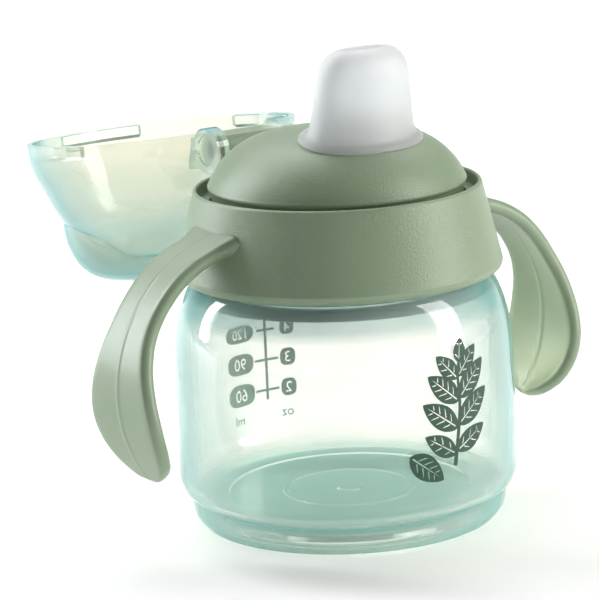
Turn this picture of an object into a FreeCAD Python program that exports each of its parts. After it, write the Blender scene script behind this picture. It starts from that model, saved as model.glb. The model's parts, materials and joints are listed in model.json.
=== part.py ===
"""Spill-resistant training cup: clear bottle, screw collar with two handles, soft spout, hinged hood.

Millimetres, +Z up. The origin is on the bottle's axis at the plane that the foot stands on.
-Y is the drinking side, +Y is the hinge side, and the handles stand out along -X and +X.
The hood is drawn closed and then turned back about its hinge to its open rest position.
"""
import FreeCAD, Part
import math
import os

# ---- driving dimensions -------------------------------------------------------------------
BOTTLE_R = 37.5              # outer radius of the straight wall
WALL = 1.5                   # bottle wall
FOOT_R = 33.0                # where the skirt meets the table
NECK_R = 30.0                # outer radius of the neck behind its thread
NECK_BORE = 27.8
NECK_TOP = 66.5
SHOULDER_Z = 54.3            # flat under the collar

THREAD_LEAD = 4.0
THREAD_HEIGHT = 1.1          # how far a ridge stands out from its wall
THREAD_ROOT_W = 2.0
THREAD_CREST_W = 1.0
NECK_THREAD_Z = (57.2, 65.2)
COLLAR_THREAD_Z = (59.2, 64.2)   # half a lead above the neck's, so the ridges run between each other
THREAD_SINK = 0.4            # how far a ridge is buried in its wall

COLLAR_BORE = 31.5
COLLAR_LIP_Z = (70.0, 71.6)  # inward lip that holds the dome down
COLLAR_LIP_R = 28.3
COLLAR_BOTTOM = 54.8

SEAL_Z = (66.55, 68.10)
SEAL_R = (27.9, 31.0)

DOME_WALL = 1.8
DOME_FLANGE_Z = (68.15, 70.0)
DOME_FLANGE_R = 31.2
DOME_SKIRT_R = 27.6          # wall between the flange and the lip over the groove

SPOUT_Y = -9.6               # centre of the spout's foot
SPOUT_LEAN = -2.2            # how far the tip is ahead of the foot
SPOUT_WALL = 2.2

HINGE_Y = 35.8
HINGE_Z = 78.6
BARREL_R = 4.6
BARREL_HALF = 7.3
EAR_R = 5.2
EAR_X = (7.6, 10.7)          # inner and outer face of each ear
STUB_R = 2.0
STUB_CLEARANCE = 0.06
STUB_REACH = 2.9
OPEN_ANGLE = 187.0           # from closed to the open stop

LID_WALL = 1.4
LID_RIM_Z = 74.9

HANDLE_T = 3.2
HANDLE_ROUND = 1.1
HANDLE_ROOT_R = 32.4         # the tenon stops this far from the axis, inside the collar's wall


def vec(x, y, z):
    return FreeCAD.Vector(x, y, z)


def revolve(profile):
    """Solid of revolution about Z from (r, z) corners, closed back to the first one."""
    pts = [vec(r, 0, z) for r, z in profile]
    wire = Part.makePolygon(pts + [pts[0]])
    return Part.Face(wire).revolve(vec(0, 0, 0), vec(0, 0, 1), 360)


def smooth_revolve(curves):
    """Solid of revolution whose half section is a loop of point runs.

    Each run is a list of (r, z). A run of two points is a straight edge and a longer one
    is a smooth curve. Each run starts where the one before it ends.
    """
    edges = []
    for run in curves:
        pts = [vec(r, 0, z) for r, z in run]
        if len(pts) == 2:
            edges.append(Part.LineSegment(pts[0], pts[1]).toShape())
        else:
            spline = Part.BSplineCurve()
            spline.interpolate(pts)
            edges.append(spline.toShape())
    return Part.Face(Part.Wire(edges)).revolve(vec(0, 0, 0), vec(0, 0, 1), 360)


def runs_through(points, breaks):
    """Cuts one list of points into runs that share their end points at the given indices."""
    cuts = [0] + list(breaks) + [len(points) - 1]
    return [points[a:b + 1] for a, b in zip(cuts[:-1], cuts[1:])]


def ellipse_wire(a, b, x, y, z):
    """Ellipse with half axis a along X and b along Y."""
    centre = vec(x, y, z)
    if abs(a - b) < 1e-6:
        return Part.Wire(Part.Circle(centre, vec(0, 0, 1), a).toShape())
    long_end, short_end = vec(x + a, y, z), vec(x, y + b, z)
    if a < b:
        long_end, short_end = vec(x, y + b, z), vec(x - a, y, z)
    return Part.Wire(Part.Ellipse(long_end, short_end, centre).toShape())


def ellipse_prism(a, b, y, z0, z1):
    return Part.Face(ellipse_wire(a, b, 0, y, z0)).extrude(vec(0, 0, z1 - z0))


def loft(sections):
    """Solid through ellipses given as (z, y, a, b)."""
    return Part.makeLoft([ellipse_wire(a, b, 0, y, z) for z, y, a, b in sections], True, False)


def thread(radius, z_range, outward):
    """Right-hand helical ridge on a wall of the given radius."""
    sign = 1 if outward else -1
    z0, z1 = z_range
    root = radius - sign * THREAD_SINK
    crest = radius + sign * THREAD_HEIGHT
    helix = Part.makeHelix(THREAD_LEAD, z1 - z0 - THREAD_ROOT_W, radius)
    half_root, half_crest = THREAD_ROOT_W / 2, THREAD_CREST_W / 2
    pts = [vec(root, 0, -half_root), vec(crest, 0, -half_crest),
           vec(crest, 0, half_crest), vec(root, 0, half_root)]
    profile = Part.makePolygon(pts + [pts[0]])
    ridge = Part.Wire(helix.Edges).makePipeShell([profile], True, True)
    ridge.translate(vec(0, 0, z0 + half_root))
    return ridge


def make_bottle():
    outside = [
        (FOOT_R - 2.2, 0), (FOOT_R, 0),
        (34.0, 1.2), (34.7, 2.6), (35.1, 5.4),
        (35.1, 6.2), (36.1, 7.0), (36.9, 8.2), (BOTTLE_R, 10.0),
        (BOTTLE_R, 36.0),
        (37.2, 39.5), (36.7, 42.2), (36.0, 46.4), (35.2, 49.6),
        (34.3, 51.8), (33.4, 53.6), (32.6, SHOULDER_Z),
        (NECK_R, SHOULDER_Z),
        (NECK_R, NECK_TOP - 0.5), (NECK_R - 0.5, NECK_TOP),
        (NECK_BORE + 0.4, NECK_TOP), (NECK_BORE, NECK_TOP - 0.4),
        (NECK_BORE, 55.0),
        (28.6, 53.4), (30.6, 51.8), (32.4, 49.6), (34.2, 46.2),
        (35.2, 42.2), (35.8, 39.0), (BOTTLE_R - WALL, 36.0),
        (BOTTLE_R - WALL, 10.6),
        (35.4, 8.6), (33.8, 6.9), (31.0, 6.0),
        (27.0, 5.9), (26.6, 5.6), (14.9, 5.5), (14.6, 5.75), (13.9, 5.75), (13.6, 5.5),
        (2.9, 5.3), (2.4, 5.7), (0, 5.8),
        (0, 3.8), (27.5, 3.8), (30.0, 2.6), (FOOT_R - 2.2, 0),
    ]
    corners = [1, 4, 5, 8, 9, 16, 17, 18, 19, 20, 21, 22, 29, 30, 33]
    corners += range(34, len(outside) - 1)
    body = smooth_revolve(runs_through(outside, corners))
    return body.fuse(thread(NECK_R, NECK_THREAD_Z, True)).removeSplitter()


def hinge_cylinder(radius, x0, x1):
    return Part.makeCylinder(radius, x1 - x0, vec(x0, HINGE_Y, HINGE_Z), vec(1, 0, 0))


def make_barrel():
    """Hinge barrel and the web that carries it down to the collar's back."""
    barrel = hinge_cylinder(BARREL_R, -BARREL_HALF, BARREL_HALF)
    web = Part.makeBox(2 * BARREL_HALF, 5.4, 9.0, vec(-BARREL_HALF, 31.0, 68.6))
    slope = Part.makePolygon([vec(-20, 37, 66), vec(-20, 33.0, 66), vec(-20, 36.4, 77),
                              vec(-20, 37, 77), vec(-20, 37, 66)])
    web = web.cut(Part.Face(slope).extrude(vec(40, 0, 0)))
    notch = Part.makeBox(5.0, 6.0, 4.2, vec(1.4, 29.0, 75.4))
    body = barrel.fuse(web).cut(notch)
    for side in (-1, 1):
        start = side * (BARREL_HALF - STUB_REACH - 0.4)
        ends = sorted((start, side * (BARREL_HALF + 1)))
        body = body.cut(hinge_cylinder(STUB_R + STUB_CLEARANCE, ends[0], ends[1]))
    return body


def make_collar(handles):
    outside = [
        (COLLAR_BORE, COLLAR_BOTTOM), (34.0, COLLAR_BOTTOM),
        (34.9, 55.2), (35.5, 55.9), (35.75, 56.9),
        (31.75, 73.9), (31.45, 74.45), (31.1, 74.6), (30.8, 74.4), (30.7, 74.0),
        (30.6, COLLAR_LIP_Z[1] + 0.2), (30.4, COLLAR_LIP_Z[1]),
        (COLLAR_LIP_R, COLLAR_LIP_Z[1]), (COLLAR_LIP_R, COLLAR_LIP_Z[0]),
        (COLLAR_BORE, COLLAR_LIP_Z[0]), (COLLAR_BORE, COLLAR_BOTTOM),
    ]
    corners = [1, 4, 5, 9, 10, 11, 12, 13, 14]
    ring = smooth_revolve(runs_through(outside, corners))
    outer_clip = Part.makeCylinder(45, 20, vec(0, 0, 62))
    inner_clear = Part.makeCylinder(COLLAR_BORE + 0.1, 20, vec(0, 0, 62))
    barrel = make_barrel().cut(inner_clear).common(outer_clip)
    collar = ring.fuse(barrel).fuse(thread(COLLAR_BORE, COLLAR_THREAD_Z, False)).removeSplitter()
    for handle in handles:
        collar = collar.cut(handle)
    return collar


def dome_profile(drop):
    """Upper surface of the dome, lowered by drop, from its centre out to the lip."""
    pts = [(0, 87.0), (7.0, 86.8), (14.2, 85.9), (18.5, 84.9),
           (22.8, 82.5), (25.2, 80.3), (27.2, 77.6), (28.2, 75.6)]
    return [(r, z - drop) for r, z in pts]


def dome_solid(drop, shrink):
    """Filled dome down to a level well inside the collar, for cutting and trimming."""
    top = [(max(r - shrink, 0), z) for r, z in dome_profile(drop)]
    edge = top[-1][0]
    return smooth_revolve([top, [top[-1], (edge, 60.0)], [(edge, 60.0), (0, 60.0)], [(0, 60.0), top[0]]])


def make_dome():
    top = dome_profile(0)
    under = dome_profile(DOME_WALL)[:-2]
    bore = DOME_SKIRT_R - DOME_WALL
    under = under + [(bore, 74.6)]
    lip = [top[-1], (28.4, 75.0), (28.2, 74.5), (DOME_SKIRT_R, 74.3)]
    low, high = DOME_FLANGE_Z
    flange = [(DOME_SKIRT_R, high), (DOME_FLANGE_R, high), (DOME_FLANGE_R, low), (bore, low),
              (bore, 74.6)]
    runs = [top, lip, [lip[-1], flange[0]]]
    runs += [[a, b] for a, b in zip(flange[:-1], flange[1:])]
    runs += [list(reversed(under)), [under[0], top[0]]]
    shell = smooth_revolve(runs)
    rib = ellipse_prism(15.4, 11.4, SPOUT_Y, 76.4, 88).cut(ellipse_prism(14.0, 10.0, SPOUT_Y, 76, 89))
    rib = rib.common(dome_solid(DOME_WALL, 0))
    return shell.fuse(rib).cut(ellipse_prism(11.0, 7.2, SPOUT_Y, 70, 95)).removeSplitter()


def make_spout():
    def tip(z):
        return SPOUT_Y + SPOUT_LEAN * (z - 84) / 21.6
    sections = [(78.0, 15.2, 11.4), (82.6, 15.0, 11.2), (84.6, 14.0, 9.9), (86.6, 12.9, 8.7),
                (90.0, 12.2, 8.1), (96.0, 11.5, 7.5), (101.2, 10.7, 6.9), (103.6, 9.5, 5.9),
                (105.0, 7.4, 4.3), (105.6, 5.2, 2.7)]
    outside = loft([(z, tip(z), a, b) for z, a, b in sections])
    above = outside.cut(dome_solid(0, 0))
    neck = ellipse_prism(11.0, 7.2, SPOUT_Y, 79, 87.6).common(dome_solid(-0.6, 0))
    under = ellipse_prism(13.9, 9.9, SPOUT_Y, 74, 88).common(dome_solid(DOME_WALL, 0))
    under = under.cut(dome_solid(DOME_WALL + 1.4, 0))
    neck = neck.cut(dome_solid(DOME_WALL + 1.4, 0))
    body = above.fuse(neck).fuse(under).removeSplitter()
    channel = loft([(76.0, tip(76), 9.0, 5.4), (84, tip(84), 9.0, 5.4), (90, tip(90), 8.8, 5.2),
                    (98, tip(98), 8.4, 4.9), (101.4, tip(101.4), 7.2, 4.0), (102.8, tip(102.8), 5.0, 2.4)])
    y_top = tip(105.6)
    recess = ellipse_prism(4.6, 1.9, y_top, 104.6, 107)
    slit = Part.makeBox(6.0, 0.9, 6.0, vec(-3.0, y_top - 0.45, 101.0))
    return body.cut(channel).cut(recess).cut(slit)


def make_valve_carrier():
    """Cup that plugs into the rib under the dome and holds the valve disc below the spout."""
    wall = ellipse_prism(13.95, 9.95, SPOUT_Y, 73.0, 88).cut(ellipse_prism(12.4, 8.4, SPOUT_Y, 74.2, 89))
    cup = wall.common(dome_solid(DOME_WALL + 1.4, 0))
    for x in (-6.4, 0.0, 6.4):
        cup = cup.cut(ellipse_prism(2.4, 3.6, SPOUT_Y, 72, 76).translated(vec(x, 0, 0)))
    return cup


def make_valve_disc():
    """Soft disc on the carrier's floor, with a cross slit over the middle opening."""
    disc = ellipse_prism(12.3, 8.3, SPOUT_Y, 74.25, 75.45)
    raised = loft([(75.45, SPOUT_Y, 5.0, 4.0), (76.6, SPOUT_Y, 4.0, 3.0), (77.2, SPOUT_Y, 2.0, 1.5)])
    hollow = loft([(74.0, SPOUT_Y, 4.2, 3.2), (75.3, SPOUT_Y, 3.8, 2.8), (76.2, SPOUT_Y, 2.0, 1.4)])
    body = disc.fuse(raised).removeSplitter().cut(hollow)
    for length_x, length_y in ((3.0, 0.3), (0.3, 2.4)):
        slit = Part.makeBox(length_x, length_y, 4, vec(-length_x / 2, SPOUT_Y - length_y / 2, 75.5))
        body = body.cut(slit)
    return body


def make_seal():
    low, high = SEAL_Z
    inner, outer = SEAL_R
    mid = (low + high) / 2
    profile = [(inner, low), (outer - 0.3, low), (outer, mid), (outer - 0.3, high), (inner, high),
               (inner + 0.3, mid)]
    return revolve(profile)


def make_handle(side):
    """Curved band from the collar, widening to a rounded grip that curls in under the hand."""
    outer_face = [(31.9, 68.6), (36.4, 66.9), (42.2, 64.6), (47.6, 61.0), (52.5, 55.6),
                  (56.0, 49.6), (57.9, 44.2), (58.7, 39.2), (58.7, 34.4), (58.0, 29.8),
                  (56.8, 25.8), (55.1, 22.0), (52.9, 18.4), (51.0, 15.8)]
    front = Part.BSplineCurve()
    front.interpolate([vec(x, 0, z) for x, z in outer_face])
    first, last = front.FirstParameter, front.LastParameter
    steps = 16
    inner_points = []
    for i in range(steps + 1):
        u = first + (last - first) * i / steps
        along = front.tangent(u)[0]
        inner_points.append(front.value(u) + vec(along.z, 0, -along.x) * HANDLE_T)
    back = Part.BSplineCurve()
    back.interpolate(list(reversed(inner_points)))
    tip_cap = Part.LineSegment(front.EndPoint, back.StartPoint)
    root_cap = Part.LineSegment(back.EndPoint, front.StartPoint)
    outline = Part.Wire([edge.toShape() for edge in (front, tip_cap, back, root_cap)])
    band = Part.Face(outline).extrude(vec(0, 30, 0)).translated(vec(0, -15, 0))
    half_widths = [(7.5, 72.0), (7.5, 60.0), (7.7, 52.0), (8.9, 46.5), (10.7, 40.0), (11.9, 35.0),
                   (12.4, 31.0), (12.1, 27.0), (10.6, 22.8), (7.0, 18.9), (0.0, 16.6)]
    rim_points = [vec(0, -y, z) for y, z in half_widths]
    rim_points += [vec(0, y, z) for y, z in reversed(half_widths[:-1])]
    rim = Part.BSplineCurve()
    rim.interpolate(rim_points)
    closing = Part.LineSegment(rim_points[-1], rim_points[0])
    leaf = Part.Face(Part.Wire([rim.toShape(), closing.toShape()])).extrude(vec(80, 0, 0))
    solid = band.common(leaf)
    solid = solid.makeFillet(HANDLE_ROUND, solid.Edges)
    solid = solid.cut(Part.makeCylinder(HANDLE_ROOT_R, 90))
    if side < 0:
        solid = solid.mirror(vec(0, 0, 0), vec(1, 0, 0))
    return solid


def lid_body(inset):
    """Outer form of the hood drawn in by inset: a leaning cone with a rounded tower at the front."""
    rim_z = LID_RIM_Z - (2 if inset else 0)
    cone = [(rim_z, 0, 32.0), (77.5, -0.3, 31.9), (81.0, -1.2, 30.9), (85.0, -2.5, 28.7),
            (89.3, -4.0, 26.2), (94.5, -6.0, 22.6), (100.0, -8.5, 18.2), (104.0, -10.5, 14.0)]
    tower = [(86.0, 20.0, 16.4), (92.0, 20.9, 16.9), (98.0, 21.0, 17.0), (103.2, 19.5, 15.8),
             (107.0, 16.8, 13.5), (109.1, 13.4, 10.9), (110.3, 9.1, 7.5), (110.8, 4.5, 3.8)]
    cone_solid = loft([(z, y, r - inset, r - inset) for z, y, r in cone])
    tower_solid = loft([(z - inset, -11.0, a - inset, b - inset) for z, a, b in tower])
    return cone_solid.fuse(tower_solid)


def make_lid():
    outer = lid_body(0)
    for side in (-1, 1):
        x0, x1 = sorted((side * EAR_X[0], side * EAR_X[1]))
        outer = outer.fuse(hinge_cylinder(EAR_R, x0, x1))
        arm = Part.makeBox(x1 - x0, 8.0, 7.2, vec(x0, 28.0, LID_RIM_Z + 0.6))
        outer = outer.fuse(arm)
    hood = outer.cut(lid_body(LID_WALL))
    barrel_room = hinge_cylinder(BARREL_R + 0.55, -EAR_X[0], EAR_X[0])
    below_room = Part.makeBox(2 * EAR_X[0], 16.0, 6.0, vec(-EAR_X[0], 29.0, HINGE_Z - 6.0))
    hood = hood.cut(barrel_room).cut(below_room)
    for side in (-1, 1):
        x_face = side * EAR_X[0]
        x0, x1 = sorted((x_face + side * 0.5, x_face - side * STUB_REACH))
        hood = hood.fuse(hinge_cylinder(STUB_R, x0, x1))
        x0, x1 = sorted((side * (EAR_X[1] - 0.5), side * (EAR_X[1] + 1)))
        hood = hood.cut(hinge_cylinder(3.5, x0, x1))
    for turn in (180, 270, 0):
        hood = hood.fuse(snap_lip(turn))
    return hood.removeSplitter()


def snap_lip(turn):
    """Thickened stretch inside the hood's rim, centred on the given angle about Z."""
    lip = revolve([(29.5, 75.3), (31.0, 75.1), (31.0, 78.2), (30.4, 78.2), (29.5, 77.4)])
    sector = Part.makeBox(40, 22, 10, vec(0, -11, 72)).rotated(vec(0, 0, 0), vec(0, 0, 1), turn)
    return lip.common(sector)


handles = {"handle_left": make_handle(-1), "handle_right": make_handle(1)}
hinge_axis = vec(1, 0, 0)
parts = {
    "bottle": make_bottle(),
    "screw_collar": make_collar(handles.values()),
    "rim_seal": make_seal(),
    "spout_dome": make_dome(),
    "spout": make_spout(),
    "valve_carrier": make_valve_carrier(),
    "valve_disc": make_valve_disc(),
    "hood": make_lid().rotated(vec(0, HINGE_Y, HINGE_Z), hinge_axis, -OPEN_ANGLE),
}
parts.update(handles)

os.makedirs("parts", exist_ok=True)
for name, shape in parts.items():
    shape.Solids[0].exportStep(os.path.join("parts", name + ".step"))
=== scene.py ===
"""Training cup with its hood folded back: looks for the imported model, lights, floor and camera.

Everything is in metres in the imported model's frame: +Z up, origin on the bottle's axis at its foot,
-Y the drinking side, +Y the hinge side, handles along -X and +X.
"""

import json
import math

import bmesh
import bpy
from mathutils import Matrix, Vector
from mathutils.geometry import interpolate_bezier


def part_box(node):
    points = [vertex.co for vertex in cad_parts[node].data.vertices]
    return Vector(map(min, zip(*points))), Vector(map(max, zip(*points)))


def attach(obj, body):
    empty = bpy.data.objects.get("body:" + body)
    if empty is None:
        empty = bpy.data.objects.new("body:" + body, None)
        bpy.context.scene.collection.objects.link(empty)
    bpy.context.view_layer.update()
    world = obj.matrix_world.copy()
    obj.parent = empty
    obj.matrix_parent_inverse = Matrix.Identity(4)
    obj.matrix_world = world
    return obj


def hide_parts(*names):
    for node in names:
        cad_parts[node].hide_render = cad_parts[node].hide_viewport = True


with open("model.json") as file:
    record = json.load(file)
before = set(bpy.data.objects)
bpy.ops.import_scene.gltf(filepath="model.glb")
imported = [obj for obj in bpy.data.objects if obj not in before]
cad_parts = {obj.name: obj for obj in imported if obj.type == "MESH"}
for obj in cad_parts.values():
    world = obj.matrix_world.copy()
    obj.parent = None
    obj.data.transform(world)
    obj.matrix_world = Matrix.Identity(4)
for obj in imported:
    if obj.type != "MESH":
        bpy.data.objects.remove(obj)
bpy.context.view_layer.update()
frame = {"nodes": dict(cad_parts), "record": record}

MM = 0.001
VIEW_AZIMUTH = -35.0        # where the camera stands, in degrees round from the drinking side
NODES = frame["nodes"]
BOTTLE_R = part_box("bottle")[1][0]
THREAD_LEAD = abs(frame["record"]["behaviour"]["couplings"][0]["ratio"]) * math.tau


# ---- mesh building ----------------------------------------------------------------------------
def spline(points, steps):
    """Catmull-Rom curve through points of any dimension, end points kept."""
    padded = [points[0]] + list(points) + [points[-1]]
    result = []
    for i in range(1, len(padded) - 2):
        p0, p1, p2, p3 = (Vector(p) for p in padded[i - 1:i + 3])
        for k in range(steps):
            t = k / steps
            result.append(0.5 * (2 * p1 + (p2 - p0) * t + (2 * p0 - 5 * p1 + 4 * p2 - p3) * t ** 2
                                 + (3 * p1 - p0 - 3 * p2 + p3) * t ** 3))
    result.append(Vector(padded[-2]))
    return result


def section(*runs):
    """One list of (r, z) in metres from runs in millimetres: two points are straight, more are a curve.

    Long straight runs are split, because smooth shading over a long face bends what is seen through it.
    """
    longest = 1.2
    points = []
    for run in runs:
        if len(run) == 2:
            start, end = (Vector(p) for p in run)
            steps = max(1, math.ceil((end - start).length / longest))
            curve = [start.lerp(end, k / steps) for k in range(steps + 1)]
        else:
            curve = spline(run, 6)
        points += curve[1 if points else 0:]
    return [p * MM for p in points]


def grid_mesh(name, rows, closed=False):
    """Quad mesh from closed rows of points; closed also joins the last row to the first."""
    count = len(rows[0])
    verts = [tuple(p) for row in rows for p in row]
    faces = []
    row_pairs = len(rows) if closed else len(rows) - 1
    for j in range(row_pairs):
        a, b = j * count, ((j + 1) % len(rows)) * count
        for i in range(count):
            k = (i + 1) % count
            faces.append((a + i, a + k, b + k, b + i))
    mesh = bpy.data.meshes.new(name)
    mesh.from_pydata(verts, [], faces)
    return mesh


def clean(mesh):
    """Merges doubled points, such as those on an axis, and turns the faces outward."""
    merge = 1e-7
    work = bmesh.new()
    work.from_mesh(mesh)
    bmesh.ops.remove_doubles(work, verts=work.verts, dist=merge)
    bmesh.ops.dissolve_degenerate(work, dist=merge, edges=work.edges)
    bmesh.ops.recalc_face_normals(work, faces=work.faces)
    work.to_mesh(mesh)
    work.free()
    return mesh


def capped(mesh):
    """Closes the two open ends of a swept mesh."""
    work = bmesh.new()
    work.from_mesh(mesh)
    bmesh.ops.holes_fill(work, edges=[e for e in work.edges if e.is_boundary])
    work.to_mesh(mesh)
    work.free()
    return clean(mesh)


def lathe(name, profile, segments):
    """Closed solid of revolution from a closed loop of (r, z) in metres."""
    rows = []
    for i in range(segments):
        angle = math.tau * i / segments
        rows.append([(r * math.cos(angle), r * math.sin(angle), z) for r, z in profile])
    return clean(grid_mesh(name, rows, closed=True))


def helix_ridge(name, radius, z0, z1):
    """Thread ridge in metres on the outside of a wall, with ends that fade into it."""
    sink, crest, half_foot = 0.4 * MM, 1.1 * MM, 1.0 * MM
    turns = (z1 - z0 - 2 * half_foot) / THREAD_LEAD
    steps = int(turns * 72)
    rows = []
    for i in range(steps + 1):
        t = i / steps
        fade = min(1.0, 14 * t + 0.02, 14 * (1 - t) + 0.02)
        angle = math.tau * turns * t
        middle = z0 + half_foot + THREAD_LEAD * turns * t
        height = crest * fade
        spread = half_foot * (0.4 + 0.6 * fade)
        corners = ((-sink, -1.0), (height, -0.5), (height, 0.5), (-sink, 1.0))
        turned = [(radius + out, middle + along * spread) for out, along in corners]
        rows.append([(r * math.cos(angle), r * math.sin(angle), z) for r, z in turned])
    return capped(grid_mesh(name, rows))


def joined(name, meshes):
    """One mesh from several closed ones, which are used up."""
    work = bmesh.new()
    for mesh in meshes:
        work.from_mesh(mesh)
        bpy.data.meshes.remove(mesh)
    mesh = bpy.data.meshes.new(name)
    work.to_mesh(mesh)
    work.free()
    return mesh


def place(name, mesh, body, material, sharp, replaced=()):
    """Links a piece, smooth except at corners over sharp degrees, and hands it to its CAD body."""
    for polygon in mesh.polygons:
        polygon.use_smooth = True
    mesh.set_sharp_from_angle(angle=math.radians(sharp))
    mesh.materials.clear()
    mesh.materials.append(material)
    obj = bpy.data.objects.new(name, mesh)
    bpy.context.scene.collection.objects.link(obj)
    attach(obj, body)
    if replaced:
        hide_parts(*replaced)
    return obj


# ---- materials --------------------------------------------------------------------------------
def new_material(name):
    material = bpy.data.materials.new(name)
    material.use_nodes = True
    tree = material.node_tree
    return material, tree, tree.nodes["Principled BSDF"], tree.nodes["Material Output"]


def add(tree, kind, **values):
    """New node in a tree, with the node's own settings given by name."""
    node = tree.nodes.new(kind)
    for key, value in values.items():
        setattr(node, key, value)
    return node


def noise(tree, scale, detail, roughness=0.5):
    coords = add(tree, "ShaderNodeTexCoord")
    node = add(tree, "ShaderNodeTexNoise")
    node.inputs["Scale"].default_value = scale
    node.inputs["Detail"].default_value = detail
    node.inputs["Roughness"].default_value = roughness
    tree.links.new(coords.outputs["Object"], node.inputs["Vector"])
    return node


def ramp(tree, source, stops):
    node = add(tree, "ShaderNodeValToRGB")
    elements = node.color_ramp.elements
    elements[0].position, elements[0].color = stops[0]
    elements[1].position, elements[1].color = stops[-1]
    for position, colour in stops[1:-1]:
        element = elements.new(position)
        element.color = colour
    tree.links.new(source, node.inputs["Fac"])
    return node


def remap(tree, source, low, high):
    node = add(tree, "ShaderNodeMapRange")
    node.inputs["To Min"].default_value = low
    node.inputs["To Max"].default_value = high
    tree.links.new(source, node.inputs["Value"])
    return node


def bump(tree, source, strength, distance):
    node = add(tree, "ShaderNodeBump")
    node.inputs["Strength"].default_value = strength
    node.inputs["Distance"].default_value = distance
    tree.links.new(source, node.inputs["Height"])
    return node


def sage_plastic(name, grain):
    """Satin moulded polypropylene with a fine spark texture; grain is the bump distance in metres."""
    material, tree, shader, _ = new_material(name)
    broad = noise(tree, 38.0, 2.0)
    colour = ramp(tree, broad.outputs["Fac"], [
        (0.25, (0.224, 0.300, 0.192, 1)), (0.75, (0.252, 0.334, 0.218, 1))])
    tree.links.new(colour.outputs["Color"], shader.inputs["Base Color"])
    fine = noise(tree, 2600.0, 2.0, 0.6)
    rough = remap(tree, fine.outputs["Fac"], 0.29, 0.45)
    tree.links.new(rough.outputs["Result"], shader.inputs["Roughness"])
    texture = bump(tree, fine.outputs["Fac"], 0.45, grain)
    tree.links.new(texture.outputs["Normal"], shader.inputs["Normal"])
    shader.inputs["Specular IOR Level"].default_value = 0.62
    shader.inputs["Subsurface Weight"].default_value = 0.08
    shader.inputs["Subsurface Radius"].default_value = (0.0012, 0.0016, 0.0006)
    shader.inputs["Subsurface Scale"].default_value = 1.0
    return material


def height_mask(tree, low, high, stops):
    """Value from 0 to 1 that follows a point's height; stops are (z in mm, value) from low to high."""
    coords = add(tree, "ShaderNodeTexCoord")
    split = add(tree, "ShaderNodeSeparateXYZ")
    tree.links.new(coords.outputs["Object"], split.inputs["Vector"])
    span = add(tree, "ShaderNodeMapRange")
    span.inputs["From Min"].default_value = low * MM
    span.inputs["From Max"].default_value = high * MM
    tree.links.new(split.outputs["Z"], span.inputs["Value"])
    points = [((z - low) / (high - low), (v, v, v, 1)) for z, v in stops]
    return ramp(tree, span.outputs["Result"], points).outputs["Color"]


def math_node(tree, operation, first, second, clamp=False):
    node = add(tree, "ShaderNodeMath", operation=operation, use_clamp=clamp)
    for socket, value in zip(node.inputs, (first, second)):
        if isinstance(value, (int, float)):
            socket.default_value = value
        else:
            tree.links.new(value, socket)
    return node.outputs["Value"]


def clear_plastic(name, thin, thick, haze, roughness, edge, heights):
    """Clear moulded plastic with a little opal haze.

    Its colour runs from thin, seen square on, to thick, at grazing angles and at the heights where the
    moulding is heavy; haze is the share of light it scatters at each of those ends. edge is the power
    and the weight of the grazing part, and heights the (z in mm, weight) of the heavy part.
    """
    material, tree, shader, output = new_material(name)
    ripple = noise(tree, 60.0, 1.5)
    facing = add(tree, "ShaderNodeLayerWeight")
    facing.inputs["Blend"].default_value = 0.5
    slope = math_node(tree, "MULTIPLY", math_node(tree, "POWER", facing.outputs["Facing"], edge[0]), edge[1])
    mottle = math_node(tree, "MULTIPLY", math_node(tree, "SUBTRACT", ripple.outputs["Fac"], 0.5), 0.12)
    heavy = height_mask(tree, heights[0][0], heights[-1][0], heights)
    depth = math_node(tree, "ADD", math_node(tree, "ADD", slope, mottle), heavy, clamp=True)
    colour = ramp(tree, depth, [(0.0, thin), (1.0, thick)])
    tree.links.new(colour.outputs["Color"], shader.inputs["Base Color"])
    clear = remap(tree, depth, 1.0 - haze[0], 1.0 - haze[1])
    tree.links.new(clear.outputs["Result"], shader.inputs["Transmission Weight"])
    shader.inputs["IOR"].default_value = 1.49
    rough = remap(tree, ripple.outputs["Fac"], roughness * 0.7, roughness * 1.3)
    tree.links.new(rough.outputs["Result"], shader.inputs["Roughness"])
    wave = bump(tree, ripple.outputs["Fac"], 0.05, 0.0002)
    tree.links.new(wave.outputs["Normal"], shader.inputs["Normal"])
    path = add(tree, "ShaderNodeLightPath")
    open_to_lamps = add(tree, "ShaderNodeBsdfTransparent")
    open_to_lamps.inputs["Color"].default_value = thin
    mix = add(tree, "ShaderNodeMixShader")
    tree.links.new(path.outputs["Is Shadow Ray"], mix.inputs["Fac"])
    tree.links.new(shader.outputs["BSDF"], mix.inputs[1])
    tree.links.new(open_to_lamps.outputs["BSDF"], mix.inputs[2])
    tree.links.new(mix.outputs["Shader"], output.inputs["Surface"])
    return material


def silicone(name, colour_a, colour_b, translucency):
    """Soft milky silicone: light scatters through it, and its skin is finely dulled."""
    material, tree, shader, _ = new_material(name)
    broad = noise(tree, 55.0, 2.0)
    colour = ramp(tree, broad.outputs["Fac"], [(0.3, colour_a), (0.7, colour_b)])
    tree.links.new(colour.outputs["Color"], shader.inputs["Base Color"])
    fine = noise(tree, 1800.0, 2.0)
    rough = remap(tree, fine.outputs["Fac"], 0.40, 0.56)
    tree.links.new(rough.outputs["Result"], shader.inputs["Roughness"])
    skin = bump(tree, fine.outputs["Fac"], 0.12, 0.00005)
    tree.links.new(skin.outputs["Normal"], shader.inputs["Normal"])
    shader.inputs["Subsurface Weight"].default_value = 1.0
    shader.inputs["Subsurface Radius"].default_value = (0.012, 0.0125, 0.013)
    shader.inputs["Subsurface Scale"].default_value = 1.0
    shader.inputs["Transmission Weight"].default_value = translucency
    shader.inputs["IOR"].default_value = 1.41
    return material


def dress(node, material):
    """Gives a CAD node its material and leaves its shape alone."""
    obj = NODES[node]
    obj.data.materials.clear()
    obj.data.materials.append(material)


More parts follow.
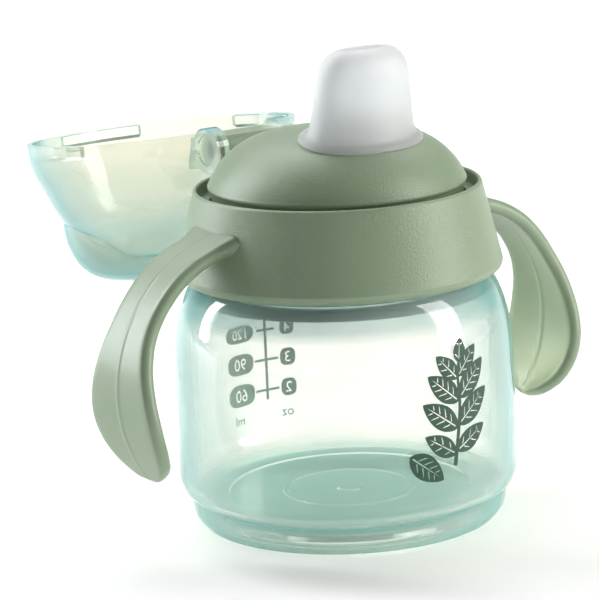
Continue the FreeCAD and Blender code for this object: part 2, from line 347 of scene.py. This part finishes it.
sage_grained = sage_plastic("sage_grained", 0.00026)
sage_smooth = sage_plastic("sage_smooth", 0.00007)
AQUA = (0.25, 0.50, 0.47, 1)
bottle_clear = clear_plastic(
    "bottle_clear", (0.935, 0.94, 0.905, 1), AQUA, (0.03, 0.60), 0.02, (2.2, 1.9),
    [(0.0, 0.30), (4.6, 0.26), (6.2, 0.18), (8.5, 0.02),
     (46.5, 0.0), (49.0, 0.38), (54.0, 0.50), (66.5, 0.50)])
hood_clear = clear_plastic(
    "hood_clear", (0.945, 0.925, 0.825, 1), (0.18, 0.42, 0.42, 1), (0.10, 0.70), 0.07, (1.8, 1.7),
    [(40.0, 0.62), (46.0, 0.44), (58.0, 0.12), (80.0, 0.0), (82.6, 0.05), (83.4, 0.55)])
spout_milky = silicone("spout_milky", (0.80, 0.825, 0.845, 1), (0.86, 0.88, 0.895, 1), 0.45)
seal_milky = silicone("seal_milky", (0.82, 0.83, 0.80, 1), (0.88, 0.89, 0.86, 1), 0.0)

dress("screw_collar", sage_grained)
dress("spout_dome", sage_grained)
dress("hood", hood_clear)
dress("rim_seal", seal_milky)
dress("valve_carrier", seal_milky)
dress("valve_disc", spout_milky)


# ---- bottle, spout and handles ---------------------------------------------------------------
def straights(points):
    """Straight runs between neighbouring points."""
    return [[a, b] for a, b in zip(points[:-1], points[1:])]


def make_bottle():
    """Bottle turned from one closed half section, with moulding rings and a gate mark on its floor."""
    wall_r = round(BOTTLE_R / MM, 3)
    wall, start, rise, draw_in, steps = 1.5, 36.0, 18.3, 4.9, 48
    neck_r, bore_r, rim_z = 30.0, 27.8, 66.5
    outer, inner = [], []
    for i in range(steps + 1):
        t = i / steps
        radius = wall_r - draw_in * (0.82 * t ** 2 + 0.18 * t ** 8)
        slope = -draw_in * (1.64 * t + 1.44 * t ** 7) / rise
        normal = Vector((1.0, -slope)).normalized()
        outer.append(Vector((radius, start + rise * t)))
        if t <= 0.86:
            inner.insert(0, outer[-1] - normal * wall)
    into_bore = [(bore_r, 55.0), (28.1, 53.9), (29.3, 52.3), tuple(inner[0])]
    inner = spline(into_bore, 6)[:-1] + inner
    neck = [(32.6, 54.3), (neck_r, 54.3), (neck_r, 66.0), (29.5, rim_z), (28.2, rim_z), (bore_r, 66.1),
            (bore_r, 55.0)]
    floor = [(31.0, 6.0), (27.0, 5.9), (26.6, 5.6), (14.9, 5.5), (14.6, 5.75), (13.9, 5.75), (13.6, 5.5),
             (2.9, 5.3), (2.4, 5.7), (0.0, 5.8), (0.0, 3.8), (27.5, 3.8), (30.0, 2.6), (30.8, 0.0)]
    foot = [(30.8, 0.0), (33.0, 0.0)]
    skirt = [[(33.0, 0.0), (34.0, 1.2), (34.7, 2.6), (35.1, 5.4)], [(35.1, 5.4), (35.1, 6.2)]]
    hip = [(35.1, 6.2), (36.1, 7.0), (36.9, 8.2), (wall_r, 10.0)]
    inside = [[(36.0, start), (36.0, 10.6)], [(36.0, 10.6), (35.4, 8.6), (33.8, 6.9), (31.0, 6.0)]]
    runs = [foot] + skirt + [hip, [(wall_r, 10.0), (wall_r, start)]] + straights(outer) + straights(neck)
    runs += straights(inner) + inside + straights(floor)
    body = lathe("bottle_shell", section(*runs)[:-1], 256)
    ridge = helix_ridge("neck_thread", neck_r * MM, 57.2 * MM, 65.2 * MM)
    shell = joined("bottle_shell", [body, ridge])
    obj = place("bottle_shell", shell, "bottle", bottle_clear, 28.0, ["bottle"])


def look_up(table, key):
    """Value at key in a table of (key, value) with rising keys, straight between its rows."""
    for (k0, v0), (k1, v1) in zip(table[:-1], table[1:]):
        if key <= k1:
            return v0 + (v1 - v0) * max(0.0, (key - k0) / (k1 - k0))
    return table[-1][1]


SPOUT_STEPS = 128
DOME_LINE = [(p[0], p[1]) for p in spline([(0, 87.0), (7.0, 86.8), (14.2, 85.9), (18.5, 84.9), (22.8, 82.5),
                                           (25.2, 80.3), (27.2, 77.6), (28.2, 75.6)], 8)]


def ring_points(a, b, y, level, over_dome=0.0, on_dome=0.0):
    """Ring of half axes a and b about (0, y).

    Its height is level where on_dome is 0 and over_dome above the dome's line where on_dome is 1.
    """
    points = []
    for i in range(SPOUT_STEPS):
        angle = math.tau * i / SPOUT_STEPS
        px, py = a * math.cos(angle), y + b * math.sin(angle)
        lying = look_up(DOME_LINE, math.hypot(px, py)) + over_dome
        points.append(Vector((px, py, lying * on_dome + level * (1 - on_dome))) * MM)
    return points


def make_spout():
    """Soft spout with a bead lying on the dome, a dished tip and a drinking slit."""
    foot_y, lean, foot_z, tip_z = -9.6, -2.2, 84.0, 105.6

    def centre(z):
        return foot_y + lean * (z - foot_z) / (tip_z - foot_z)

    bead = ((0.5, 0.5, -1.2), (13.8, 10.1, -1.2), (14.3, 10.6, -0.1), (14.65, 10.95, 0.25),
            (14.7, 11.0, 0.65), (14.5, 10.8, 1.0), (14.1, 10.4, 1.15), (13.6, 9.9, 1.1))
    rows = [ring_points(a, b, foot_y, 0, height, 1.0) for a, b, height in bead]
    rows.append(ring_points(13.1, 9.35, centre(86.6), 87.1, 1.3, 0.85))
    rows.append(ring_points(12.7, 8.85, centre(87.4), 87.8, 2.0, 0.5))
    rows.append(ring_points(12.45, 8.5, centre(88.6), 88.9, 2.8, 0.18))
    wall = spline([(90.4, 12.25, 8.25), (93.5, 11.85, 7.8), (97.0, 11.4, 7.45), (100.2, 10.95, 7.1),
                   (102.4, 10.2, 6.5), (103.9, 9.2, 5.7), (104.9, 7.9, 4.7), (105.45, 6.5, 3.6),
                   (tip_z, 5.4, 2.75)], 4)
    rows += [ring_points(a, b, centre(z), z) for z, a, b in wall]
    dish_and_slit = ((105.55, 5.05, 2.35), (105.3, 4.75, 2.05), (104.9, 4.6, 1.9), (104.65, 4.3, 1.65),
                     (104.55, 3.6, 1.0), (104.5, 3.0, 0.42), (104.2, 2.9, 0.36), (101.6, 2.8, 0.34),
                     (101.5, 0.4, 0.1))
    rows += [ring_points(a, b, centre(tip_z), z) for z, a, b in dish_and_slit]
    obj = place("spout_soft", capped(grid_mesh("spout_soft", rows)), "head", spout_milky, 60.0, ["spout"])


def make_handle(name, side, node):
    """Dished grip swept down the handle's curve, flared where it meets the collar, with a moulding seam."""
    thickness, dish, edge = 3.2, 0.75, 1.35
    seam_half, seam_rise = 0.28, 0.10
    root_x, flare_reach, tip_z, tip_reach = 32.6, 5.5, 16.6, 1.5
    face = spline([(root_x, 68.35), (36.4, 66.9), (42.2, 64.6), (47.6, 61.0), (52.5, 55.6), (56.0, 49.6),
                   (57.9, 44.2), (58.7, 39.2), (58.7, 34.4), (58.0, 29.8), (56.8, 25.8), (55.1, 22.0),
                   (52.9, 18.4), (51.7, 16.7)], 14)
    half_widths = [(tip_z, 0.0), (16.75, 1.6), (17.1, 3.2), (17.8, 5.1), (18.9, 7.0), (20.7, 9.2),
                   (22.8, 10.6), (25.0, 11.6), (27.0, 12.1), (29.0, 12.35), (31.0, 12.4), (33.0, 12.25),
                   (35.0, 11.9), (37.5, 11.35), (40.0, 10.7), (43.2, 9.75), (46.5, 8.9), (49.2, 8.2),
                   (52.0, 7.7), (56.0, 7.5), (72.0, 7.5)]
    turns = [math.pi * k / 8 for k in range(1, 8)]
    rows = []
    for i, (x, z) in enumerate(face):
        ahead = face[min(i + 1, len(face) - 1)] - face[max(i - 1, 0)]
        inward = Vector((ahead.y, -ahead.x)).normalized()
        flare = max(0.0, 1.0 - (x - root_x) / flare_reach) ** 2
        half = max(look_up(half_widths, z), 0.05) + 1.5 * flare
        near_tip = min(1.0, max(0.0, (z - tip_z) / tip_reach))
        swell = math.sqrt(1.0 - (1.0 - near_tip) ** 2)
        body = thickness * (0.25 + 0.75 * swell)
        depth = body + 0.9 * flare
        shift = (thickness - body) / 2 - 0.3 * flare
        corner = min(edge, half * 0.95, depth / 2 * 0.98)
        flat = half - corner
        half_row = [flat * share for share in (1.0, 0.85, 0.7, 0.5, 0.3, 0.14)]
        half_row.append(min(seam_half, flat * 0.1))
        across_row = half_row + [0.0] + [-y for y in reversed(half_row)]
        loop = [(y, -seam_rise * swell if y == 0.0 else 0.0) for y in across_row]
        loop += [(-flat - corner * math.sin(turn), depth / 2 * (1 - math.cos(turn))) for turn in turns]
        for y in reversed(across_row):
            hollow = dish * (1 - (y / flat) ** 2) * min(1.0, half / 8.0) * (1 - flare)
            loop.append((y, depth - hollow + (seam_rise * swell if y == 0.0 else 0.0)))
        loop += [(flat + corner * math.sin(turn), depth / 2 * (1 + math.cos(turn))) for turn in turns]
        spots = [(y, Vector((x, z)) + inward * (down + shift)) for y, down in loop]
        rows.append([(side * spot.x * MM, y * MM, spot.y * MM) for y, spot in spots])
    obj = place(name, capped(grid_mesh(name, rows)), "head", sage_smooth, 60.0, [node])


make_bottle()
make_spout()
make_handle("grip_left", -1, "handle_left")
make_handle("grip_right", 1, "handle_right")


# ---- printed marks ---------------------------------------------------------------------------
PRINT_LIFT = 0.05 * MM       # how far the ink stands off the wall
PRINT_DEPTH = 0.06 * MM
SPRIG_FACING, SCALE_FACING = -90.0, 84.8


def almond(base, heading, length, width):
    """Leaf outline in millimetres from its base along a heading in degrees from straight up."""
    turn = math.radians(heading)
    along = Vector((math.sin(turn), math.cos(turn)))
    across = Vector((along.y, -along.x))
    fullness, steps = 0.85, 18
    sides = ([], [])
    for i in range(steps + 1):
        t = i / steps
        half = width / 2 * math.sin(math.pi * t ** fullness) ** 0.8 if 0 < i < steps else 0.0
        for side, points in zip((1, -1), sides):
            points.append(Vector(base) + along * length * t + across * half * side)
    return sides[0] + sides[1][-2:0:-1]


def sliver(start, end, width):
    """Thin pointed slit between two points, for a vein left bare in a leaf."""
    start, end = Vector(start), Vector(end)
    along = (end - start).normalized()
    across = Vector((along.y, -along.x)) * width / 2
    return [start - across, start + across, end.lerp(start, 0.25) + across * 0.6, end,
            end.lerp(start, 0.25) - across * 0.6]


def veined_leaf(base, heading, length, width, veins):
    """Leaf with a bare midrib, and veins pairs of bare side veins."""
    turn = math.radians(heading)
    along = Vector((math.sin(turn), math.cos(turn)))
    across = Vector((along.y, -along.x))
    foot = Vector(base)
    midrib = 0.05 * length ** 0.5 + 0.2
    outlines = [almond(base, heading, length, width)]
    outlines.append(sliver(foot + along * length * 0.08, foot + along * length * 0.88, midrib))
    for i in range(veins):
        t = 0.22 + 0.5 * i / max(veins - 1, 1)
        reach = 0.34 * width * math.sin(math.pi * (t + 0.12))
        for side in (1, -1):
            start = foot + along * length * t + across * side * midrib
            outlines.append(sliver(start, start + along * reach * 0.9 + across * side * reach, 0.32))
    return outlines


def stroke(points, width):
    """Ribbon outline along a smooth run of points, narrowing a little to its end."""
    line = spline(points, 6)
    left, right = [], []
    for i, point in enumerate(line):
        ahead = line[min(i + 1, len(line) - 1)] - line[max(i - 1, 0)]
        across = Vector((ahead.y, -ahead.x)).normalized() * width / 2 * (1 - 0.45 * i / len(line))
        left.append(point - across)
        right.append(point + across)
    return left + right[::-1]


def oblong(centre, width, height):
    """Rounded label outline, squarer than an ellipse."""
    steps, squareness = 14, 0.7
    points = []
    for i in range(4 * steps):
        angle = math.tau * i / (4 * steps)
        c, s = math.cos(angle), math.sin(angle)
        points.append(Vector(centre) + Vector((math.copysign(abs(c) ** squareness, c) * width / 2,
                                               math.copysign(abs(s) ** squareness, s) * height / 2)))
    return points


def lettering(text, centre, height, bold):
    """Outlines of plain characters, in millimetres, centred on a point."""
    data = bpy.data.curves.new("lettering", "FONT")
    data.body = text
    data.align_x, data.align_y = "CENTER", "CENTER"
    data.size = 1.0
    data.offset = bold
    obj = bpy.data.objects.new("lettering", data)
    bpy.context.scene.collection.objects.link(obj)
    bpy.ops.object.select_all(action="DESELECT")
    obj.select_set(True)
    bpy.context.view_layer.objects.active = obj
    bpy.ops.object.convert(target="CURVE")
    outlines = []
    for curve in obj.data.splines:
        points = []
        knots = curve.bezier_points
        for a, b in zip(knots, list(knots[1:]) + [knots[0]]):
            run = interpolate_bezier(a.co, a.handle_right, b.handle_left, b.co, 6)
            points += [Vector((p.x, p.y)) for p in run[:-1]]
        outlines.append(points)
    bpy.data.objects.remove(obj)
    lows = [min(p[k] for points in outlines for p in points) for k in (0, 1)]
    highs = [max(p[k] for points in outlines for p in points) for k in (0, 1)]
    scale = height / (highs[1] - lows[1])
    middle = Vector(((lows[0] + highs[0]) / 2, (lows[1] + highs[1]) / 2))
    return [[(p - middle) * scale + Vector(centre) for p in points] for points in outlines]


def wall_print(name, outlines, facing, material):
    """Ink on the bottle's straight wall; outlines are (arc, z) in millimetres round a facing in degrees."""
    data = bpy.data.curves.new(name, "CURVE")
    data.dimensions = "2D"
    data.fill_mode = "BOTH"
    data.extrude = PRINT_DEPTH / MM / 2
    for points in outlines:
        line = data.splines.new("POLY")
        line.points.add(len(points) - 1)
        for knot, point in zip(line.points, points):
            knot.co = (point[0], point[1], 0.0, 1.0)
        line.use_cyclic_u = True
    holder = bpy.data.objects.new(name, data)
    bpy.context.scene.collection.objects.link(holder)
    bpy.context.view_layer.update()
    mesh = bpy.data.meshes.new_from_object(holder.evaluated_get(bpy.context.evaluated_depsgraph_get()))
    bpy.data.objects.remove(holder)
    work = bmesh.new()
    work.from_mesh(mesh)
    bmesh.ops.remove_doubles(work, verts=work.verts, dist=1e-4)
    low = min(v.co.x for v in work.verts)
    high = max(v.co.x for v in work.verts)
    for cut in range(math.ceil(low), math.ceil(high)):
        everything = work.verts[:] + work.edges[:] + work.faces[:]
        bmesh.ops.bisect_plane(work, geom=everything, plane_co=(cut, 0, 0), plane_no=(1, 0, 0))
    for vert in work.verts:
        radius = BOTTLE_R + PRINT_LIFT + vert.co.z * MM
        angle = math.radians(facing) + vert.co.x * MM / BOTTLE_R
        vert.co = (radius * math.cos(angle), radius * math.sin(angle), vert.co.y * MM)
    bmesh.ops.recalc_face_normals(work, faces=work.faces)
    work.to_mesh(mesh)
    work.free()
    place(name, mesh, "bottle", material, 50.0)


def ink(name, dark, light):
    """Screen-printed ink: almost flat colour with faint unevenness and a soft satin surface."""
    material, tree, shader, _ = new_material(name)
    patchy = noise(tree, 420.0, 4.0, 0.6)
    colour = ramp(tree, patchy.outputs["Fac"], [(0.3, dark), (0.7, light)])
    tree.links.new(colour.outputs["Color"], shader.inputs["Base Color"])
    rough = remap(tree, patchy.outputs["Fac"], 0.38, 0.52)
    tree.links.new(rough.outputs["Result"], shader.inputs["Roughness"])
    film = bump(tree, patchy.outputs["Fac"], 0.15, 0.00002)
    tree.links.new(film.outputs["Normal"], shader.inputs["Normal"])
    return material


def print_sprig():
    """A leafy sprig, drawn from almond leaves on one bending stem, and a leaf lying beside it."""
    wall_print("sprig_stem", [stroke([(1.6, 17.9), (2.6, 24.0), (3.4, 31.0), (3.0, 38.0), (3.6, 41.0)], 1.0)],
               SPRIG_FACING, ink_green)
    leaves = [(2.2, 21.0, 62, 9.6, 4.6, 3), (2.1, 20.4, -58, 9.4, 4.5, 3), (2.9, 26.6, 52, 11.2, 5.4, 4),
              (2.7, 26.0, -54, 11.0, 5.3, 4), (3.4, 32.4, 44, 10.6, 5.2, 4), (3.2, 31.8, -50, 10.4, 5.1, 4),
              (3.1, 37.2, 40, 8.2, 4.2, 3), (3.0, 36.8, -44, 8.0, 4.1, 3), (3.5, 40.2, 4, 5.4, 3.4, 2)]
    for index, (x, z, heading, length, width, veins) in enumerate(leaves):
        outlines = veined_leaf((x, z), heading, length, width, veins)
        wall_print(f"sprig_leaf_{index + 1}", outlines, SPRIG_FACING, ink_green)
    wall_print("fallen_leaf", veined_leaf((-9.6, 21.6), 128, 10.2, 5.6, 4), SPRIG_FACING, ink_green)


def bar(left, low, right, high):
    """Upright oblong outline."""
    return [(left, low), (right, low), (right, high), (left, high)]


def print_scale():
    """Filling scale on the back wall: a stem line with ticks, and labels with their figures left bare."""
    def mark(name, outlines):
        wall_print(name, outlines, SCALE_FACING, ink_teal)

    bottom, step, thin = 20.1, 7.3, 0.012
    stem, tick = 0.35, 0.3
    mark("scale_line", [bar(-stem, 18.0, stem, 49.5)])
    for index, (figure, small) in enumerate((("60", "2"), ("90", "3"), ("120", "4"), ("150", "5"))):
        z = bottom + step * index
        lower = index < 2
        reach = 3.2 if lower else 2.4
        mark(f"scale_tick_{figure}_a", [bar(-reach, z - tick, -stem, z + tick)])
        mark(f"scale_tick_{figure}_b", [bar(stem, z - tick, reach, z + tick)])
        wide, high = (8.0, 5.0) if lower else (8.4, 4.2)
        figures = lettering(figure, (7.6, z), 2.7 if lower else 2.3, thin)
        mark(f"scale_label_{figure}", [oblong((7.6, z), wide, high)] + figures)
        wide, high = (3.9, 4.2) if lower else (3.6, 3.6)
        figures = lettering(small, (-5.7, z), 2.5 if lower else 2.2, thin)
        mark(f"scale_label_{small}", [oblong((-5.7, z), wide, high)] + figures)
    mark("scale_unit_ml", lettering("ml", (8.4, 14.3), 2.1, 0.01))
    mark("scale_unit_oz", lettering("oz", (-5.2, 14.2), 1.5, 0.01))


ink_green = ink("ink_green", (0.020, 0.068, 0.038, 1), (0.027, 0.084, 0.048, 1))
ink_teal = ink("ink_teal", (0.085, 0.215, 0.190, 1), (0.105, 0.250, 0.220, 1))
print_sprig()
print_scale()


# ---- floor, light, camera --------------------------------------------------------------------
def make_floor():
    """Plain pale paper that glows beyond the lamps' reach, so that low views have no dark end."""
    glow_from, glow_to = 0.80, 1.15
    bpy.ops.mesh.primitive_plane_add(size=40.0, location=(0, 0, 0))
    floor = bpy.context.object
    floor.name = "floor"
    material, tree, shader, _ = new_material("floor_paper")
    grain = noise(tree, 3.0, 2.0)
    colour = ramp(tree, grain.outputs["Fac"], [(0.3, (0.90, 0.90, 0.895, 1)), (0.7, (0.92, 0.92, 0.915, 1))])
    tree.links.new(colour.outputs["Color"], shader.inputs["Base Color"])
    shader.inputs["Roughness"].default_value = 0.7
    shader.inputs["Specular IOR Level"].default_value = 0.2
    coords = add(tree, "ShaderNodeTexCoord")
    reach = add(tree, "ShaderNodeVectorMath", operation="LENGTH")
    tree.links.new(coords.outputs["Object"], reach.inputs[0])
    far = add(tree, "ShaderNodeMapRange")
    for socket, value in (("From Min", glow_from), ("From Max", glow_to), ("To Min", 0.04), ("To Max", 0.85)):
        far.inputs[socket].default_value = value
    tree.links.new(reach.outputs["Value"], far.inputs["Value"])
    shader.inputs["Emission Color"].default_value = (1, 1, 1, 1)
    tree.links.new(far.outputs["Result"], shader.inputs["Emission Strength"])
    floor.data.materials.append(material)


VIEW_TURN = Matrix.Rotation(math.radians(VIEW_AZIMUTH), 3, "Z")


def from_view(right, away, up):
    """Place in the frame from metres to the right, away and up as the camera sees them."""
    return VIEW_TURN @ Vector((right, away, up))


def area_light(name, stand, target, size, power, colour=(1, 1, 1), spread=180.0):
    data = bpy.data.lights.new(name, "AREA")
    data.shape = "RECTANGLE"
    data.size, data.size_y = size
    data.energy = power
    data.color = colour
    data.spread = math.radians(spread)
    light = bpy.data.objects.new(name, data)
    light.location = stand
    light.rotation_euler = (Vector(target) - Vector(stand)).to_track_quat("-Z", "Y").to_euler()
    bpy.context.scene.collection.objects.link(light)


def make_lights():
    """A broad lamp above and behind, and an upright strip on each side."""
    cup = (0, 0, 0.07)
    area_light("back_top", from_view(-0.05, 0.75, 0.90), from_view(0, 0.40, 0), (1.9, 1.2), 8.6, spread=105.0)
    area_light("key_right", from_view(0.82, -0.16, 0.34), cup, (0.30, 0.8), 6.9, (1.0, 0.985, 0.95))
    area_light("strip_left", from_view(-0.78, 0.30, 0.42), cup, (0.15, 0.8), 7.4, (0.93, 0.97, 1.0))


def make_camera():
    """Camera at the measured view: a long lens from the drinking side's left, a little above the rim."""
    distance, height = 0.6842, 0.206
    yaw, pitch, roll = math.radians(-0.77), math.radians(12.952), math.radians(-2.504)
    forward = Vector((math.sin(yaw) * math.cos(pitch), math.cos(yaw) * math.cos(pitch), -math.sin(pitch)))
    right = Vector((math.cos(yaw), -math.sin(yaw), 0.0))
    up = right.cross(forward)
    rolled_right = right * math.cos(roll) + up * math.sin(roll)
    rolled_up = up * math.cos(roll) - right * math.sin(roll)
    basis = Matrix((VIEW_TURN @ rolled_right, VIEW_TURN @ rolled_up, VIEW_TURN @ -forward)).transposed()
    data = bpy.data.cameras.new("camera")
    data.sensor_width = 36.0
    data.lens = 190.98
    data.clip_start, data.clip_end = 0.05, 30.0
    camera = bpy.data.objects.new("camera", data)
    camera.matrix_world = Matrix.Translation(from_view(0, -distance, height)) @ basis.to_4x4()
    bpy.context.scene.collection.objects.link(camera)
    bpy.context.scene.camera = camera


def make_world():
    """Dim studio air with a pale band at the horizon, where the floor ends."""
    world = bpy.data.worlds.new("studio")
    bpy.context.scene.world = world
    world.use_nodes = True
    tree = world.node_tree
    coords = add(tree, "ShaderNodeTexCoord")
    split = add(tree, "ShaderNodeSeparateXYZ")
    tree.links.new(coords.outputs["Generated"], split.inputs["Vector"])
    shade = ramp(tree, split.outputs["Z"], [(0.0, (0.90, 0.90, 0.90, 1)), (0.08, (0.62, 0.62, 0.62, 1)),
                                            (0.22, (0.06, 0.06, 0.06, 1)), (1.0, (0.08, 0.08, 0.08, 1))])
    tree.links.new(shade.outputs["Color"], tree.nodes["Background"].inputs["Color"])


make_floor()
make_world()
make_lights()
make_camera()
bpy.context.scene.view_settings.view_transform = "Standard"
